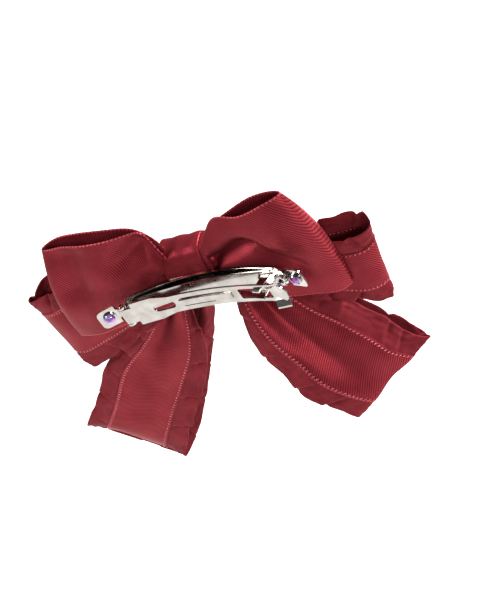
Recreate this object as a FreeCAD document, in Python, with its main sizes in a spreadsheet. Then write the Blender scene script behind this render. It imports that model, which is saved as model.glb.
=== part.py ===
import FreeCAD, Part
import math
import os
import Sketcher
from FreeCAD import Placement, Rotation, Vector

# Hair bow on a spring barrette, in millimetres.
# +X runs along the barrette from its hinge to its clasp, +Z is up as worn, +Y points to the
# bow's front and -Y to the head. The origin is the middle of the gap that holds the hair.

SIZES = {
    # Base plate of the barrette: a strip bent to an arc, with a necked tab at each end.
    "clip_length": 80.0,
    "base_width": 8.9,
    "base_bend": 1.215,
    "base_rise": 5.0,
    "base_thickness": 0.8,
    "tab_length": 6.4,
    "tab_width": 8.0,
    "tab_corner": 1.9,
    "neck_length": 1.6,
    "neck_width": 3.6,
    "neck_flare": 1.4,
    "sewing_hole_radius": 1.2,
    "stone_inset": 3.5,
    "ear_radius": 1.7,
    "ear_thickness": 0.8,
    "rivet_hole_radius": 1.65,
    "anchor_slot_length": 1.2,
    "anchor_slot_width": 3.6,
    # Hinge pin, a short tube pressed into the ears.
    "pin_inset": 10.4,
    "pin_drop": 2.58,
    "pin_radius": 0.9,
    "pin_bore": 0.45,
    "pin_clearance": 0.05,
    "pin_end_stand": 0.25,
    # Clamping arm: a second bent strip with a rolled knuckle, a window and two finger wings.
    # A place that ends in _at is a share of the clip's length, from its middle.
    "arm_crest_at": -0.095,
    "arm_crest_y": -2.2,
    "arm_thickness": 0.7,
    "arm_root_width": 10.6,
    "arm_waist_width": 7.8,
    "arm_root_start_at": -0.3225,
    "arm_root_end_at": -0.219,
    "arm_waist_at": -0.144,
    "arm_side_gap": 0.25,
    "oval_start_at": -0.232,
    "oval_end_at": -0.126,
    "oval_width": 3.3,
    "rib_start_at": -0.1025,
    "rib_end_at": 0.156,
    "rib_width": 2.6,
    "rib_height": 0.45,
    "slot_width": 0.6,
    "slot_spacing": 3.6,
    "slot_start_at": -0.0925,
    "upper_slot_end_at": 0.131,
    "lower_slot_end_at": 0.0625,
    "window_start_at": 0.195,
    "window_width": 4.8,
    "plate_width": 8.6,
    "plate_reach": 6.1,
    "wing_length": 5.2,
    "wing_reach": 1.9,
    "wing_drop": 1.3,
    # Tension bar: a leaf spring between the base plate and the arm.
    "bar_crest_y": 3.0,
    "bar_tip_gap": 0.25,
    "bar_thickness": 0.4,
    "bar_width": 6.4,
    "bar_anchor_at": -0.32375,
    "bar_end_gap": 1.1,
    "fork_width": 4.9,
    "fork_depth": 4.4,
    "fork_point": 1.8,
    "anchor_width": 3.0,
    "anchor_height": 1.6,
    # Keeper: a riveted foot with two sprung prongs that stand up through the arm's window.
    "keeper_inset": 11.5,
    "keeper_window_gap": 0.3,
    "keeper_length": 9.0,
    "keeper_width": 4.0,
    "keeper_thickness": 0.55,
    "keeper_seat": 0.15,
    "prong_length": 3.0,
    "prong_height": 8.6,
    "prong_barb": 0.3,
    "prong_barb_height": 1.5,
    # Tubular rivet, flared into petals on the head side.
    "rivet_offset": 2.9,
    "rivet_radius": 1.25,
    "rivet_bore": 0.75,
    "rivet_flange": 2.3,
    "rivet_flange_thickness": 0.4,
    "rivet_petal_radius": 2.75,
    "rivet_petal_height": 1.2,
    "petal_count": 8,
    "petal_gap": 0.5,
    # Domed stones in their cups.
    "stone_radius": 2.05,
    "stone_girdle": 0.5,
    "stone_dome": 1.2,
    "cup_wall": 0.3,
    "cup_height": 0.75,
    "cup_floor": 0.2,
    "cup_seat": 0.08,
    # Middle of the bow: gathered ribbon ends, thread, two turns of wrap and the glue pad.
    "bow_x": -5.0,
    "knot_back": 7.4,
    "knot_depth": 11.0,
    "knot_height": 24.0,
    "knot_length": 21.0,
    "knot_corner": 3.0,
    "wrap_width": 16.0,
    "wrap_thickness": 0.8,
    "under_layer_thickness": 0.4,
    "under_layer_shift": 1.6,
    "thread_width": 1.8,
    "thread_depth": 0.6,
    "pad_length": 14.0,
    "pad_width": 7.6,
    # Ribbons. A loop is one length folded back, with both ends caught in the knot.
    "ribbon_thickness": 0.6,
    "throat_share": 0.29,
    "satin_width": 46.0,
    "satin_waist_width": 38.0,
    "satin_knot_width": 18.6,
    "satin_waist_at": 15.0,
    "satin_full_at": 27.0,
    "satin_bulge": 3.2,
    "band_width": 24.0,
    "band_waist_width": 12.0,
    "band_knot_width": 8.0,
    "trim_width": 7.5,
    "trim_waist_width": 3.4,
    "trim_knot_width": 1.6,
    "ruffle_waist_at": 29.0,
    "ruffle_full_at": 55.0,
    "ruffle_bulge": 4.6,
    "stitch_width": 0.6,
    "stitch_height": 0.25,
    "stitch_inset": 0.4,
    # Levels of the loops, as shares of the knot's depth from its back.
    "satin_level": 0.164,
    "upper_ruffle_level": 0.495,
    "lower_ruffle_level": 0.891,
    # Each loop's start from the bow's middle, its reach and its direction. An angle of 0 runs
    # to +X, 90 straight down.
    "satin_left_x": -8.8,
    "satin_left_z": 0.5,
    "satin_left_reach": 44.5,
    "satin_left_angle": 187.0,
    "satin_right_x": 10.4,
    "satin_right_z": 0.5,
    "satin_right_reach": 40.5,
    "satin_right_angle": -4.5,
    "upper_left_x": -8.5,
    "upper_left_z": -4.0,
    "upper_left_reach": 58.0,
    "upper_left_angle": 170.0,
    "upper_right_x": 9.9,
    "upper_right_z": -2.0,
    "upper_right_reach": 55.5,
    "upper_right_angle": 11.0,
    "lower_left_x": -12.4,
    "lower_left_z": -6.5,
    "lower_left_reach": 97.0,
    "lower_left_angle": 128.0,
    "lower_left_pitch": 0.0,
    "lower_left_tilt": 0.0,
    "lower_right_x": 14.9,
    "lower_right_z": -8.5,
    "lower_right_reach": 67.0,
    "lower_right_angle": 57.0,
    "lower_right_pitch": 9.5,
    "lower_right_tilt": -30.0,
}

# Margin of the frames that trim a strip to its outline, past every piece.
TRIM_FRAME = "250"

doc = FreeCAD.newDocument("HairBow")
sheet = doc.addObject("Spreadsheet::Sheet", "Size")


def fill_sheet():
    for row, (name, number) in enumerate(SIZES.items(), start=1):
        sheet.set("A%d" % row, name)
        sheet.set("B%d" % row, str(number))
        sheet.setAlias("B%d" % row, name)
    doc.recompute()


def value(expression):
    return float(sheet.evalExpression(expression))


def arc_height(crest_y, radius, x):
    """Expression for the height at x of an arc whose crest is at x = 0."""
    return "({0} - {1} + sqrt(({1})^2 - ({2})^2))".format(crest_y, radius, x)


def along(share):
    """Expression for a place along the clip, given as a share of its length."""
    return "(Size.%s * Size.clip_length)" % share


# Places that several pieces share, written from the sizes.
BASE_RADIUS = "(Size.base_bend * Size.clip_length)"
BASE_INNER_CREST = "(Size.base_rise - Size.base_thickness / 2)"
BASE_INNER_RADIUS = "(%s - Size.base_thickness / 2)" % BASE_RADIUS
BASE_OUTER_CREST = "(Size.base_rise + Size.base_thickness / 2)"
BASE_OUTER_RADIUS = "(%s + Size.base_thickness / 2)" % BASE_RADIUS
PIN_X = "(Size.pin_inset - Size.clip_length / 2)"
PIN_Y = "(%s - Size.pin_drop)" % arc_height(BASE_INNER_CREST, BASE_INNER_RADIUS, PIN_X)
KNUCKLE_BORE = "(Size.pin_radius + Size.pin_clearance)"
KNUCKLE_RADIUS = "(Size.pin_radius + Size.pin_clearance + Size.arm_thickness)"
KNUCKLE_WIDTH = "(Size.base_width - 2 * Size.ear_thickness - 2 * Size.arm_side_gap)"
ARM_CREST_X = along("arm_crest_at")
ARM_DROP = "(Size.arm_crest_y - %s + %s - Size.arm_thickness / 2)" % (PIN_Y, KNUCKLE_RADIUS)
ARM_RADIUS = "((({0} - {1})^2 + {2}^2) / (2 * {2}))".format(ARM_CREST_X, PIN_X, ARM_DROP)
KEEPER_X = "(Size.clip_length / 2 - Size.keeper_inset)"
WINDOW_END = "(%s - Size.keeper_window_gap)" % KEEPER_X
PLATE_END = "(%s + Size.plate_reach)" % KEEPER_X
BAR_ANCHOR_X = along("bar_anchor_at")
BAR_END_X = "(%s - Size.bar_end_gap)" % KEEPER_X
BAR_TIP_Y = "(%s - Size.bar_tip_gap)" % arc_height(BASE_INNER_CREST, BASE_INNER_RADIUS, BAR_END_X)
BAR_RADIUS = "(({0}^2 + (Size.bar_crest_y - {1})^2) / (2 * (Size.bar_crest_y - {1})))".format(
    BAR_END_X, BAR_TIP_Y
)
STONE_X = "(Size.clip_length / 2 - Size.stone_inset)"
KNOT_FRONT = "(Size.knot_back + Size.knot_depth)"
THROAT = "(Size.throat_share * Size.knot_depth)"


def new_body(label):
    body = doc.addObject("PartDesign::Body", label)
    body.Label = label
    return body


def new_sketch(body, role, name, offset=None):
    """A sketch on one of the body's own origin planes, moved along its normal by offset."""
    sketch = body.newObject("Sketcher::SketchObject", body.Label + "_" + name)
    plane = [feature for feature in body.Origin.OriginFeatures if feature.Role == role][0]
    sketch.AttachmentSupport = [(plane, "")]
    sketch.MapMode = "FlatFace"
    if offset is not None:
        sketch.setExpression("AttachmentOffset.Base.z", offset)
    return sketch


def fix(sketch, kind, geometry, point, expression):
    """A dimension of the sketch, bound to an expression on the sheet."""
    number = value(expression)
    if kind == "Radius":
        index = sketch.addConstraint(Sketcher.Constraint(kind, geometry, number))
    else:
        index = sketch.addConstraint(Sketcher.Constraint(kind, geometry, point, number))
    sketch.setExpression("Constraints[%d]" % index, expression)


def edge_between(start, end, bend):
    """A line, or the short arc of a radius whose centre is left (+1) or right (-1) of the way."""
    if bend is None:
        return Part.LineSegment(start, end), False
    radius, side = value(bend[0]), bend[1]
    chord = end - start
    normal = Vector(-chord.y, chord.x, 0) * (side / chord.Length)
    centre = (start + end) * 0.5 + normal * math.sqrt(radius ** 2 - (chord.Length / 2) ** 2)
    first = math.atan2(start.y - centre.y, start.x - centre.x)
    last = math.atan2(end.y - centre.y, end.x - centre.x)
    circle = Part.Circle(centre, Vector(0, 0, 1), radius)
    if side > 0:
        return Part.ArcOfCircle(circle, first, last), False
    return Part.ArcOfCircle(circle, last, first), True


def draw_outline(sketch, corners):
    """A closed outline. Each corner is (x, y) or (x, y, bend of the edge that leaves it)."""
    places = [Vector(value(corner[0]), value(corner[1]), 0) for corner in corners]
    edges = []
    for index, corner in enumerate(corners):
        bend = corner[2] if len(corner) > 2 else None
        curve, turned = edge_between(places[index], places[(index + 1) % len(places)], bend)
        geometry = sketch.addGeometry(curve)
        edges.append((geometry, 2 if turned else 1, 1 if turned else 2, bend))
    for index, (geometry, start, end, bend) in enumerate(edges):
        following = edges[(index + 1) % len(edges)]
        sketch.addConstraint(
            Sketcher.Constraint("Coincident", geometry, end, following[0], following[1])
        )
        fix(sketch, "DistanceX", geometry, start, corners[index][0])
        fix(sketch, "DistanceY", geometry, start, corners[index][1])
        if bend is not None:
            fix(sketch, "Radius", geometry, None, bend[0])


def draw_circle(sketch, x, y, radius):
    centre = Vector(value(x), value(y), 0)
    geometry = sketch.addGeometry(Part.Circle(centre, Vector(0, 0, 1), value(radius)))
    fix(sketch, "DistanceX", geometry, 3, x)
    fix(sketch, "DistanceY", geometry, 3, y)
    fix(sketch, "Radius", geometry, None, radius)


def minus(expression):
    return "-(%s)" % expression


def box_corners(x_low, x_high, y_low, y_high):
    return [(x_low, y_low), (x_high, y_low), (x_high, y_high), (x_low, y_high)]


def rounded_box(x_low, x_high, y_low, y_high, radius):
    """Corners of a rectangle with four round corners."""
    bend = (radius, 1)
    left, right = "%s + %s" % (x_low, radius), "%s - %s" % (x_high, radius)
    lower, upper = "%s + %s" % (y_low, radius), "%s - %s" % (y_high, radius)
    return [
        (left, y_low),
        (right, y_low, bend),
        (x_high, lower),
        (x_high, upper, bend),
        (right, y_high),
        (left, y_high, bend),
        (x_low, upper),
        (x_low, lower, bend),
    ]


def slot_corners(x_low, x_high, y_middle, width):
    """A slot with round ends, each end made of two quarter arcs."""
    half = "(%s) / 2" % width
    bend = (half, 1)
    left, right = "%s + %s" % (x_low, half), "%s - %s" % (x_high, half)
    return [
        (left, "%s - %s" % (y_middle, half)),
        (right, "%s - %s" % (y_middle, half), bend),
        (x_high, y_middle, bend),
        (right, "%s + %s" % (y_middle, half)),
        (left, "%s + %s" % (y_middle, half), bend),
        (x_low, y_middle, bend),
    ]


def trim_frame():
    return box_corners("-" + TRIM_FRAME, TRIM_FRAME, "-" + TRIM_FRAME, TRIM_FRAME)


def add_pad(body, sketch, length, both_ways=True, backwards=False):
    feature = body.newObject("PartDesign::Pad", sketch.Label + "_pad")
    feature.Profile = sketch
    feature.SideType = "Symmetric" if both_ways else "One side"
    feature.Reversed = backwards
    feature.setExpression("Length", length)
    return feature


def add_pocket(body, sketch, length=None, both_ways=True, backwards=False):
    """A cut. It stops the build if it takes nothing away."""
    doc.recompute()
    before = body.Shape.Volume
    feature = body.newObject("PartDesign::Pocket", sketch.Label + "_pocket")
    feature.Profile = sketch
    feature.SideType = "Symmetric" if both_ways else "One side"
    feature.Reversed = backwards
    if length is None:
        feature.Type = "ThroughAll"
    else:
        feature.setExpression("Length", length)
    doc.recompute()
    if not body.Shape.Volume < before:
        raise RuntimeError(sketch.Label + " cuts nothing")
    return feature


def add_revolution(body, sketch):
    feature = body.newObject("PartDesign::Revolution", sketch.Label + "_turn")
    feature.Profile = sketch
    feature.ReferenceAxis = (sketch, ["V_Axis"])
    feature.Angle = 360.0
    return feature


def place(body, x="0", y="0", z="0", rotation=None):
    body.setExpression("Placement.Base.x", x)
    body.setExpression("Placement.Base.y", y)
    body.setExpression("Placement.Base.z", z)
    if rotation is not None:
        body.Placement = Placement(Vector(value(x), value(y), value(z)), rotation)


def strip_section(crest_x, crest_y, radius, thickness, x_low, x_high):
    """Cross-section of a bent strip between two places along X, cut square at both."""
    def height(x, side):
        crest = "(%s + %s * %s / 2)" % (crest_y, side, thickness)
        bend_radius = "(%s + %s * %s / 2)" % (radius, side, thickness)
        return arc_height(crest, bend_radius, "(%s) - (%s)" % (x, crest_x))

    inner = "%s - %s / 2" % (radius, thickness)
    outer = "%s + %s / 2" % (radius, thickness)
    return [
        (x_low, height(x_low, -1), (inner, -1)),
        (x_high, height(x_high, -1)),
        (x_high, height(x_high, 1), (outer, 1)),
        (x_low, height(x_low, 1)),
    ]


def on_base(body, x):
    """Stand a body on the base plate's inner face at x, with its own -Y away from the plate."""
    tilt = math.degrees(math.asin(value(x) / value(BASE_INNER_RADIUS)))
    rotation = Rotation(Vector(0, 0, 1), -tilt)
    place(body, x, arc_height(BASE_INNER_CREST, BASE_INNER_RADIUS, x), "0", rotation)


def base_outline():
    """Half outline of the base plate seen along Y, mirrored to the other three corners."""
    tab_in = "(Size.clip_length / 2 - Size.tab_length)"
    plate_half = "(%s - Size.neck_length)" % tab_in
    tab_half = "Size.tab_width / 2"
    notch_bend = "Size.neck_length / 2 + 0.001"
    notch_floor = "Size.neck_width / 2"
    notch_wall = "(%s + Size.neck_length / 2)" % notch_floor
    notch_middle = "(%s - Size.neck_length / 2)" % tab_in
    corner_in = "(Size.clip_length / 2 - Size.tab_corner)"
    corner_down = "(Size.tab_width / 2 - Size.tab_corner)"
    quarter = [
        ("Size.clip_length / 2", corner_down, ("Size.tab_corner", 1)),
        (corner_in, tab_half),
        (tab_in, tab_half),
        (tab_in, notch_wall, (notch_bend, -1)),
        (notch_middle, notch_floor, (notch_bend, -1)),
        (plate_half, notch_wall),
        ("%s - Size.neck_flare" % plate_half, "Size.base_width / 2"),
    ]

    def reflected(corners, flip_x, flip_y):
        """The corners run back the other way, so each bend moves to the edge's other end."""
        result = []
        for index in range(len(corners) - 1, -1, -1):
            x, y = corners[index][0], corners[index][1]
            bend = corners[index - 1][2] if index > 0 and len(corners[index - 1]) > 2 else None
            corner = (minus(x) if flip_x else x, minus(y) if flip_y else y)
            result.append(corner + (bend,) if bend else corner)
        return result

    def turned_over(corners):
        return [(minus(corner[0]), minus(corner[1])) + tuple(corner[2:]) for corner in corners]

    upper = quarter + reflected(quarter, True, False)
    return upper + turned_over(upper)


def make_base_plate():
    body = new_body("base_plate")
    half = "Size.clip_length / 2"
    sketch = new_sketch(body, "XY_Plane", "arc")
    section = strip_section(
        "0", "Size.base_rise", BASE_RADIUS, "Size.base_thickness", minus(half), half
    )
    draw_outline(sketch, section)
    add_pad(body, sketch, "Size.base_width")

    ear = new_sketch(body, "XY_Plane", "ear", "Size.base_width / 2 - Size.ear_thickness")
    left = "%s - Size.ear_radius" % PIN_X
    right = "%s + Size.ear_radius" % PIN_X
    top_left = arc_height("Size.base_rise", BASE_RADIUS, left)
    top_right = arc_height("Size.base_rise", BASE_RADIUS, right)
    bend = ("Size.ear_radius", 1)
    draw_outline(ear, [
        (left, PIN_Y, bend),
        (PIN_X, "%s - Size.ear_radius" % PIN_Y, bend),
        (right, PIN_Y),
        (right, top_right),
        (left, top_left),
    ])
    draw_circle(ear, PIN_X, PIN_Y, "Size.pin_radius")
    ear_pad = add_pad(body, ear, "Size.ear_thickness", both_ways=False)
    doc.recompute()
    other_ear = body.newObject("PartDesign::Mirrored", "base_plate_other_ear")
    other_ear.Originals = [ear_pad]
    planes = [item for item in body.Origin.OriginFeatures if item.Role == "XY_Plane"]
    other_ear.MirrorPlane = (planes[0], [""])
    body.Tip = other_ear

    outline = new_sketch(body, "XZ_Plane", "outline")
    draw_outline(outline, trim_frame())
    draw_outline(outline, base_outline())
    add_pocket(body, outline)

    holes = new_sketch(body, "XZ_Plane", "holes")
    draw_circle(holes, STONE_X, "0", "Size.sewing_hole_radius")
    draw_circle(holes, minus(STONE_X), "0", "Size.sewing_hole_radius")
    draw_circle(holes, rivet_x(), "0", "Size.rivet_hole_radius")
    anchor_middle = "(%s + Size.bar_thickness / 2)" % BAR_ANCHOR_X
    draw_outline(holes, box_corners(
        anchor_middle + " - Size.anchor_slot_length / 2",
        anchor_middle + " + Size.anchor_slot_length / 2",
        "-Size.anchor_slot_width / 2",
        "Size.anchor_slot_width / 2",
    ))
    add_pocket(body, holes)


def keeper_slope():
    """Cosine of the base plate's slope at the keeper."""
    return "(sqrt({0}^2 - {1}^2) / {0})".format(BASE_INNER_RADIUS, KEEPER_X)


def rivet_x():
    return "(%s + Size.rivet_offset * %s)" % (KEEPER_X, keeper_slope())


def make_hinge_pin():
    body = new_body("hinge_pin")
    sketch = new_sketch(body, "XY_Plane", "ring")
    draw_circle(sketch, PIN_X, PIN_Y, "Size.pin_radius")
    draw_circle(sketch, PIN_X, PIN_Y, "Size.pin_bore")
    add_pad(body, sketch, "Size.base_width + 2 * Size.pin_end_stand")


def arm_outline():
    """The arm seen along Y: knuckle, wide root, waist and rounded end plate."""
    knuckle = "%s / 2" % KNUCKLE_WIDTH
    root = "Size.arm_root_width / 2"
    waist = "Size.arm_waist_width / 2"
    plate = "Size.plate_width / 2"
    past_pin = "%s - 2 * %s" % (PIN_X, KNUCKLE_RADIUS)
    plate_start = "%s - Size.neck_flare" % WINDOW_END
    root_start = along("arm_root_start_at")
    upper = [
        ("%s - %s" % (PLATE_END, plate), plate),
        (WINDOW_END, plate),
        (plate_start, waist),
        (along("arm_waist_at"), waist),
        (along("arm_root_end_at"), root),
        (root_start + " + Size.arm_side_gap", root),
        (root_start, root + " - Size.arm_side_gap"),
        (root_start, knuckle),
        (past_pin, knuckle),
    ]
    lower = [(corner[0], minus(corner[1])) for corner in reversed(upper)]
    tip_bend = ("%s + 0.001" % plate, 1)
    lower[-1] = lower[-1] + (tip_bend,)
    return upper + lower + [(PLATE_END, "0", tip_bend)]


def make_clip_arm():
    body = new_body("clip_arm")
    strip = (ARM_CREST_X, "Size.arm_crest_y", ARM_RADIUS, "Size.arm_thickness")
    sketch = new_sketch(body, "XY_Plane", "arc")
    strip_start = "%s + Size.arm_thickness / 2" % PIN_X
    draw_outline(sketch, strip_section(*strip, strip_start, PLATE_END))
    add_pad(body, sketch, "Size.arm_root_width")

    knuckle = new_sketch(body, "XY_Plane", "knuckle")
    draw_circle(knuckle, PIN_X, PIN_Y, KNUCKLE_RADIUS)
    add_pad(body, knuckle, KNUCKLE_WIDTH)

    rib = new_sketch(body, "XY_Plane", "rib")
    rib_low = "(Size.arm_crest_y - Size.arm_thickness / 2 - Size.rib_height / 2)"
    rib_radius = "(%s - Size.arm_thickness / 2 - Size.rib_height / 2)" % ARM_RADIUS
    draw_outline(rib, strip_section(
        ARM_CREST_X,
        rib_low,
        rib_radius,
        "Size.rib_height",
        along("rib_start_at"),
        along("rib_end_at"),
    ))
    add_pad(body, rib, "Size.rib_width")

    outline = new_sketch(body, "XZ_Plane", "outline")
    draw_outline(outline, trim_frame())
    draw_outline(outline, arm_outline())
    add_pocket(body, outline)

    openings = new_sketch(body, "XZ_Plane", "openings")
    draw_outline(openings, slot_corners(
        along("oval_start_at"), along("oval_end_at"), "0", "Size.oval_width"
    ))
    for side, end in (("", along("upper_slot_end_at")), ("-", along("lower_slot_end_at"))):
        draw_outline(openings, slot_corners(
            along("slot_start_at"), end, side + "Size.slot_spacing / 2", "Size.slot_width"
        ))
    draw_outline(openings, rounded_box(
        along("window_start_at"),
        WINDOW_END,
        "-Size.window_width / 2",
        "Size.window_width / 2",
        "Size.arm_thickness",
    ))
    add_pocket(body, openings)

    wings = new_sketch(body, "YZ_Plane", "wings", KEEPER_X)
    wing_middle = "(%s + Size.wing_length / 2 - %s)" % (KEEPER_X, ARM_CREST_X)
    plate_y = arc_height("Size.arm_crest_y", ARM_RADIUS, wing_middle)
    near = "%s - Size.arm_thickness / 2" % plate_y
    far = "%s + Size.arm_thickness / 4" % plate_y
    inset = "(Size.plate_width / 2 - 2 * Size.arm_thickness)"
    rim = "(Size.plate_width / 2)"
    tip = "(%s + Size.wing_reach - Size.arm_thickness)" % rim
    for side in ("", "-"):
        draw_outline(wings, [
            (far, "%s%s" % (side, inset)),
            (far, "%s%s" % (side, rim)),
            (near + " - Size.wing_drop", "%s(%s)" % (side, tip + " + Size.arm_thickness / 2")),
            (near + " - Size.wing_drop", "%s(%s)" % (side, tip + " - Size.arm_thickness / 2")),
            (near, "%s%s" % (side, inset)),
        ])
    add_pad(body, wings, "Size.wing_length", both_ways=False)

    bore = new_sketch(body, "XY_Plane", "bore")
    draw_circle(bore, PIN_X, PIN_Y, KNUCKLE_BORE)
    add_pocket(body, bore)


def make_tension_bar():
    body = new_body("tension_bar")
    sketch = new_sketch(body, "XY_Plane", "arc")
    draw_outline(sketch, strip_section(
        "0",
        "Size.bar_crest_y",
        BAR_RADIUS,
        "Size.bar_thickness",
        BAR_ANCHOR_X,
        BAR_END_X,
    ))
    add_pad(body, sketch, "Size.bar_width")

    anchor = new_sketch(body, "XY_Plane", "anchor")
    anchor_foot = arc_height("Size.bar_crest_y", BAR_RADIUS, BAR_ANCHOR_X)
    draw_outline(anchor, box_corners(
        BAR_ANCHOR_X,
        BAR_ANCHOR_X + " + Size.bar_thickness",
        anchor_foot,
        anchor_foot + " + Size.anchor_height",
    ))
    add_pad(body, anchor, "Size.anchor_width")

    fork = new_sketch(body, "XZ_Plane", "fork")
    fork_in = "(%s - Size.fork_depth)" % BAR_END_X
    fork_out = "(%s + Size.fork_depth)" % BAR_END_X
    draw_outline(fork, [
        (fork_out, "Size.fork_width / 2"),
        (fork_in, "Size.fork_width / 2"),
        (fork_in + " - Size.fork_point", "0"),
        (fork_in, "-Size.fork_width / 2"),
        (fork_out, "-Size.fork_width / 2"),
    ])
    add_pocket(body, fork)


def make_keeper():
    body = new_body("keeper")
    seat = "-Size.keeper_seat"
    floor = "(-Size.keeper_seat - Size.keeper_thickness)"
    foot = new_sketch(body, "XY_Plane", "foot")
    draw_outline(foot, box_corners(
        "-Size.keeper_length / 2", "Size.keeper_length / 2", floor, seat
    ))
    add_pad(body, foot, "Size.keeper_width")

    prongs = new_sketch(body, "YZ_Plane", "prongs", "-Size.keeper_length / 2")
    top = "(-Size.prong_height)"
    barb = "(-Size.prong_height + Size.prong_barb_height)"
    for side in ("", "-"):
        draw_outline(prongs, [
            (seat, side + "Size.keeper_width / 2"),
            (barb, side + "Size.keeper_width / 2"),
            (top + " + Size.prong_barb_height / 2", side + "(Size.keeper_width / 2 + Size.prong_barb)"),
            (top, side + "Size.keeper_width / 2"),
            (top, side + "(Size.keeper_width / 2 - Size.keeper_thickness)"),
            (seat, side + "(Size.keeper_width / 2 - Size.keeper_thickness)"),
        ])
    add_pad(body, prongs, "Size.prong_length", both_ways=False)

    hole = new_sketch(body, "XZ_Plane", "hole")
    draw_circle(hole, "Size.rivet_offset", "0", "Size.rivet_radius")
    add_pocket(body, hole)
    on_base(body, KEEPER_X)


def make_keeper_rivet():
    body = new_body("keeper_rivet")
    sketch = new_sketch(body, "XY_Plane", "profile")
    back = "(Size.base_thickness + Size.keeper_seat)"
    front = "(-Size.keeper_seat - Size.keeper_thickness)"
    flange = "(%s + Size.rivet_flange_thickness)" % back
    crown = "(%s - Size.rivet_petal_height)" % front
    draw_outline(sketch, [
        ("Size.rivet_bore", flange),
        ("Size.rivet_bore", crown + " + Size.rivet_petal_height / 3"),
        ("Size.rivet_radius", crown),
        ("Size.rivet_petal_radius - Size.rivet_flange_thickness", crown),
        ("Size.rivet_petal_radius", crown + " + Size.rivet_petal_height / 2"),
        ("Size.rivet_petal_radius - Size.rivet_flange_thickness", front),
        ("Size.rivet_radius", front),
        ("Size.rivet_radius", back),
        ("Size.rivet_flange", back),
        ("Size.rivet_flange", flange),
    ])
    add_revolution(body, sketch)

    notch = new_sketch(body, "XZ_Plane", "notch", minus(front))
    draw_outline(notch, box_corners(
        "Size.rivet_radius + Size.petal_gap",
        "2 * Size.rivet_petal_radius",
        "-Size.petal_gap / 2",
        "Size.petal_gap / 2",
    ))
    cut = add_pocket(body, notch, "2 * Size.rivet_petal_height", both_ways=False, backwards=True)
    ring = body.newObject("PartDesign::PolarPattern", "keeper_rivet_petals")
    ring.Originals = [cut]
    axes = [item for item in body.Origin.OriginFeatures if item.Role == "Y_Axis"]
    ring.Axis = (axes[0], [""])
    ring.Angle = 360.0
    ring.setExpression("Occurrences", "Size.petal_count")
    body.Tip = ring
    tilt = math.asin(value(KEEPER_X) / value(BASE_INNER_RADIUS))
    rotation = Rotation(Vector(0, 0, 1), -math.degrees(tilt))
    drop = "Size.rivet_offset * %s / %s" % (KEEPER_X, BASE_INNER_RADIUS)
    seat_y = arc_height(BASE_INNER_CREST, BASE_INNER_RADIUS, KEEPER_X)
    place(body, rivet_x(), "%s - %s" % (seat_y, drop), "0", rotation)


def make_cup_and_stone(end, side):
    cup = new_body(end + "_cup")
    sketch = new_sketch(cup, "XY_Plane", "profile")
    wall = "(Size.stone_radius + Size.cup_wall)"
    seat = "-Size.cup_seat"
    floor = "(-Size.cup_seat - Size.cup_floor)"
    draw_outline(sketch, [
        ("0", seat),
        ("0", floor),
        ("Size.stone_radius", floor),
        ("Size.stone_radius", "-Size.cup_seat - Size.cup_height"),
        (wall, "-Size.cup_seat - Size.cup_height + Size.cup_wall / 2"),
        (wall, seat),
    ])
    add_revolution(cup, sketch)
    on_base(cup, side + STONE_X)

    stone = new_body(end + "_stone")
    sketch = new_sketch(stone, "XY_Plane", "profile")
    girdle = "(%s - Size.stone_girdle)" % floor
    crown = "(%s - Size.stone_dome)" % girdle
    dome_radius = "((Size.stone_radius^2 + Size.stone_dome^2) / (2 * Size.stone_dome))"
    draw_outline(sketch, [
        ("0", floor),
        ("0", crown, (dome_radius, 1)),
        ("Size.stone_radius", girdle),
        ("Size.stone_radius", floor),
    ])
    add_revolution(stone, sketch)
    on_base(stone, side + STONE_X)


def knot_ring(grow):
    """Section of the knot seen along X, grown all round."""
    return rounded_box(
        "(Size.knot_back - %s)" % grow,
        "(%s + %s)" % (KNOT_FRONT, grow),
        "(-Size.knot_height / 2 - %s)" % grow,
        "(Size.knot_height / 2 + %s)" % grow,
        "(Size.knot_corner + %s)" % grow,
    )


def make_ring(label, inner, outer, width, shift="0"):
    """A band round the knot, its inside and outside given as growth of the knot's section."""
    body = new_body(label)
    sketch = new_sketch(body, "YZ_Plane", "ring")
    draw_outline(sketch, knot_ring(inner))
    draw_outline(sketch, knot_ring(outer))
    add_pad(body, sketch, width)
    place(body, "Size.bow_x + " + shift)


def make_knot():
    body = new_body("gathered_ends")
    sketch = new_sketch(body, "YZ_Plane", "section")
    draw_outline(sketch, knot_ring("0"))
    add_pad(body, sketch, "Size.knot_length")
    groove = new_sketch(body, "YZ_Plane", "groove")
    draw_outline(groove, knot_ring("2 * Size.thread_depth"))
    draw_outline(groove, knot_ring("-Size.thread_depth"))
    add_pocket(body, groove, "Size.thread_width")
    place(body, "Size.bow_x")

    under = "Size.under_layer_thickness"
    outside = "(%s + Size.wrap_thickness)" % under
    make_ring("gather_thread", "-Size.thread_depth", "0", "Size.thread_width")
    make_ring("wrap_under_layer", "0", under, "Size.wrap_width", "Size.under_layer_shift")
    make_ring("centre_wrap", under, outside, "Size.wrap_width")


def make_glue_pad():
    body = new_body("glue_pad")
    sketch = new_sketch(body, "XY_Plane", "section")
    left = "(Size.bow_x - Size.pad_length / 2)"
    right = "(Size.bow_x + Size.pad_length / 2)"
    top = "(Size.knot_back - Size.under_layer_thickness - Size.wrap_thickness)"
    draw_outline(sketch, [
        (left, top),
        (left, arc_height(BASE_OUTER_CREST, BASE_OUTER_RADIUS, left), (BASE_OUTER_RADIUS, -1)),
        (right, arc_height(BASE_OUTER_CREST, BASE_OUTER_RADIUS, right)),
        (right, top),
    ])
    add_pad(body, sketch, "Size.pad_width")


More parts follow.
